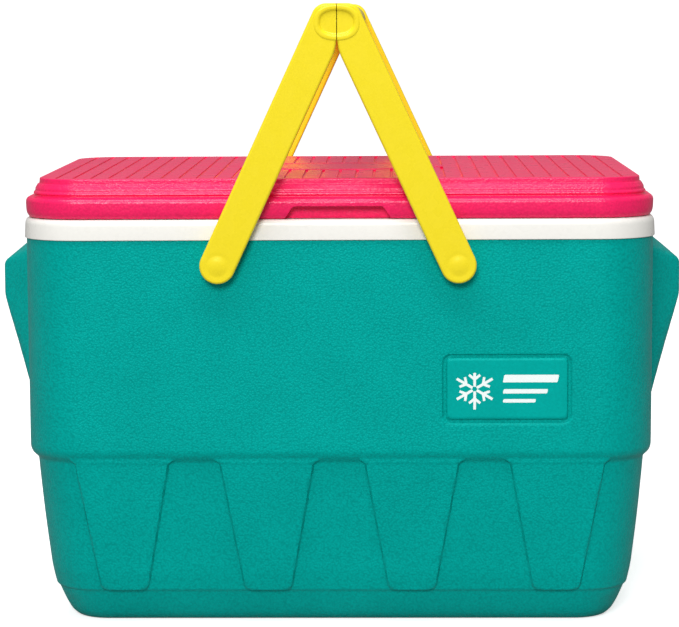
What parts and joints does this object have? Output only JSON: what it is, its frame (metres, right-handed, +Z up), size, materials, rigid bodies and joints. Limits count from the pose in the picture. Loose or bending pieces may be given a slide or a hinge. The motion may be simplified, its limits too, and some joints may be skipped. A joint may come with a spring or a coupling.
{
  "type": "picnic cooler chest",
  "caption": "Insulated plastic picnic cooler chest with a lift-off lid, side grips and swing-up bail handles that meet over the lid.",
  "frame": {"origin": "centre of the flat base, on the ground", "axes": "+Z up; +X along the long side, towards the right-hand side grip; -Y is the front, the face with the name plate"},
  "size_m": [0.482, 0.322, 0.4255],
  "materials": {
    "shell": "pebble-grained moulded plastic, teal",
    "liner": "smooth glossy plastic, white",
    "lid": "fine-grained moulded plastic, pink-red",
    "handle": "satin moulded plastic, yellow",
    "socket": "plain moulded plastic, off-white",
    "foam": "rigid closed-cell foam, cream"
  },
  "bodies": {
    "chest": {"outer_shell": "shell", "inner_liner": "liner", "body_insulation": "foam", "body_filler_plug": "shell", "pivot_socket_front_left": "socket", "pivot_socket_front_right": "socket", "pivot_socket_rear_left": "socket", "pivot_socket_rear_right": "socket"},
    "lid": {"lid_shell": "lid", "lid_liner": "liner", "lid_insulation": "foam", "lid_filler_plug": "liner"},
    "bail_left": {"bail_grip_left": "handle", "bail_arm_front_left": "handle", "bail_arm_rear_left": "handle", "pivot_stud_front_left": "handle", "pivot_stud_rear_left": "handle"},
    "bail_right": {"bail_grip_right": "handle", "bail_arm_front_right": "handle", "bail_arm_rear_right": "handle", "pivot_stud_front_right": "handle", "pivot_stud_rear_right": "handle"}
  },
  "joints": [
    {"name": "lid_lift", "type": "slide", "parent": "chest", "child": "lid", "axis": [0, 0, 1], "range_m": [0, 0.085]},
    {"name": "bail_left_swing", "type": "hinge", "parent": "chest", "child": "bail_left", "pos_m": [-0.081, 0, 0.2505], "axis": [0, -1, 0], "range_deg": [0, 130]},
    {"name": "bail_right_swing", "type": "hinge", "parent": "chest", "child": "bail_right", "pos_m": [0.081, 0, 0.2505], "axis": [0, 1, 0], "range_deg": [0, 130]}
  ]
}
